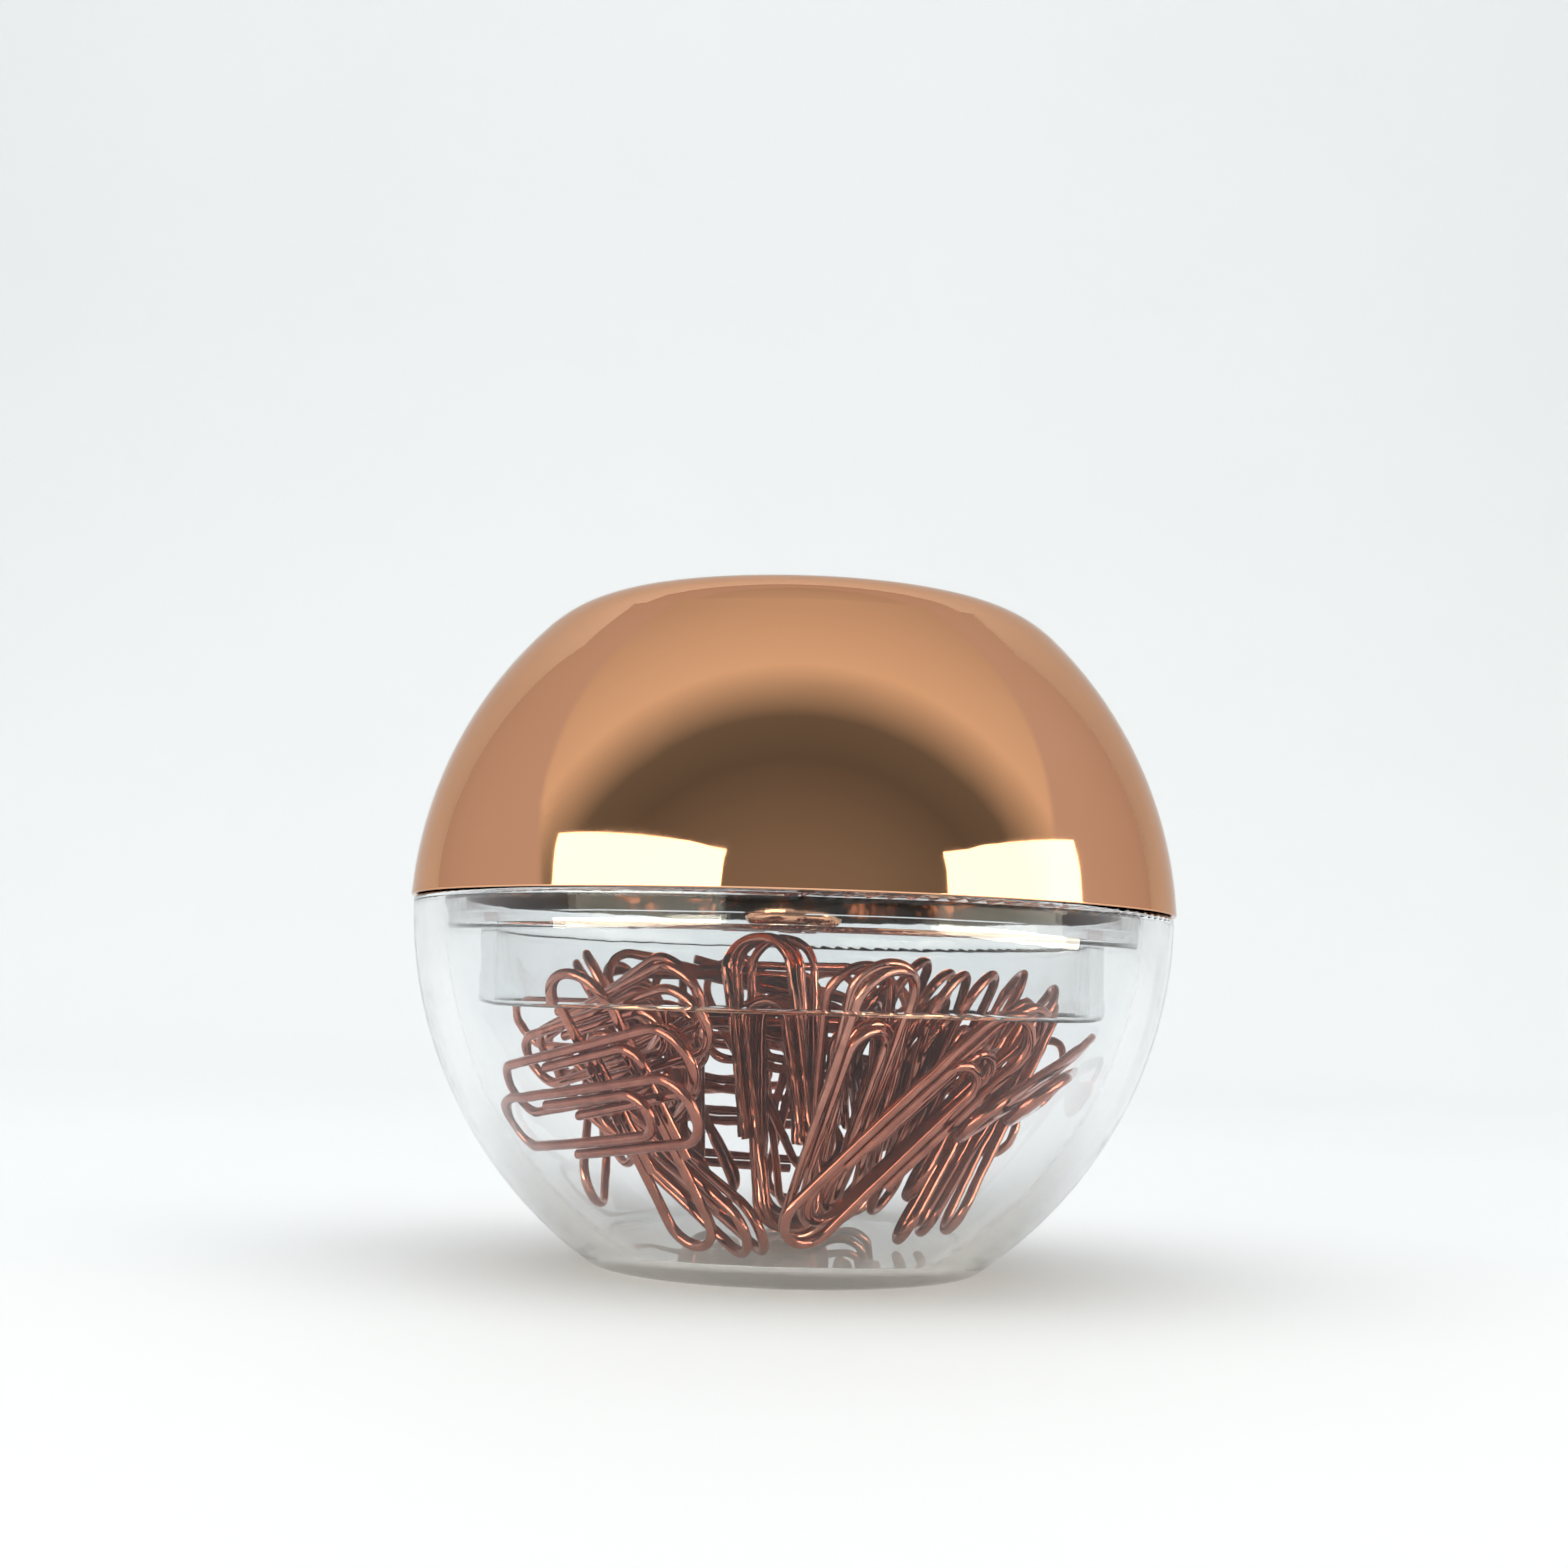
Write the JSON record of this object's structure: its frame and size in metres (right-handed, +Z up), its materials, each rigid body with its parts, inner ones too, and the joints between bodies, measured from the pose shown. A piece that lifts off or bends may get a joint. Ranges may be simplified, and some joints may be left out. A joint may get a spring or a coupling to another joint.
{
  "type": "magnetic paper clip holder",
  "caption": "Ball-shaped desk holder: a clear bowl heaped with loose wire paper clips under a plated dome lid, whose inner post carries a magnet that lifts clips out.",
  "frame": {"origin": "centre of the bowl's flat base, on the surface it stands on", "axes": "+Z up along the axis of the bowl and lid; -Y towards the viewer of the picture"},
  "size_m": [0.0728, 0.0728, 0.0632],
  "materials": {
    "clear_plastic": "clear moulded plastic, polished",
    "rose_gold_plating": "mirror-bright rose gold plating on moulded plastic",
    "magnet_nickel": "nickel-plated magnet",
    "copper_wire": "copper-plated drawn steel wire"
  },
  "bodies": {
    "bowl_and_loose_clips": {"bowl": "clear_plastic", "loose_clip_01": "copper_wire", "loose_clip_02": "copper_wire", "loose_clip_03": "copper_wire", "loose_clip_04": "copper_wire", "loose_clip_05": "copper_wire", "loose_clip_06": "copper_wire", "loose_clip_07": "copper_wire", "loose_clip_08": "copper_wire", "loose_clip_09": "copper_wire", "loose_clip_10": "copper_wire", "loose_clip_11": "copper_wire", "loose_clip_12": "copper_wire", "loose_clip_13": "copper_wire", "loose_clip_14": "copper_wire", "loose_clip_15": "copper_wire", "loose_clip_16": "copper_wire", "loose_clip_17": "copper_wire", "loose_clip_18": "copper_wire", "loose_clip_19": "copper_wire", "loose_clip_20": "copper_wire", "loose_clip_21": "copper_wire", "loose_clip_22": "copper_wire", "loose_clip_23": "copper_wire", "loose_clip_24": "copper_wire", "loose_clip_25": "copper_wire", "loose_clip_26": "copper_wire", "loose_clip_27": "copper_wire", "loose_clip_28": "copper_wire", "loose_clip_29": "copper_wire", "loose_clip_30": "copper_wire", "loose_clip_31": "copper_wire", "loose_clip_32": "copper_wire", "loose_clip_33": "copper_wire", "loose_clip_34": "copper_wire", "loose_clip_35": "copper_wire", "loose_clip_36": "copper_wire", "loose_clip_37": "copper_wire", "loose_clip_38": "copper_wire", "loose_clip_39": "copper_wire", "loose_clip_40": "copper_wire", "loose_clip_41": "copper_wire", "loose_clip_42": "copper_wire", "loose_clip_43": "copper_wire", "loose_clip_44": "copper_wire", "loose_clip_45": "copper_wire", "loose_clip_46": "copper_wire", "loose_clip_47": "copper_wire", "loose_clip_48": "copper_wire", "loose_clip_49": "copper_wire", "loose_clip_50": "copper_wire"},
    "lid_and_hung_clips": {"lid_dome": "rose_gold_plating", "lid_collar": "clear_plastic", "magnet_post": "rose_gold_plating", "magnet": "magnet_nickel", "hung_clip_1": "copper_wire", "hung_clip_2": "copper_wire", "hung_clip_3": "copper_wire", "hung_clip_4": "copper_wire", "hung_clip_5": "copper_wire"}
  },
  "joints": [
    {"name": "lid_lift", "type": "slide", "parent": "bowl_and_loose_clips", "child": "lid_and_hung_clips", "axis": [0, 0, 1], "range_m": [0, 0.05]}
  ]
}
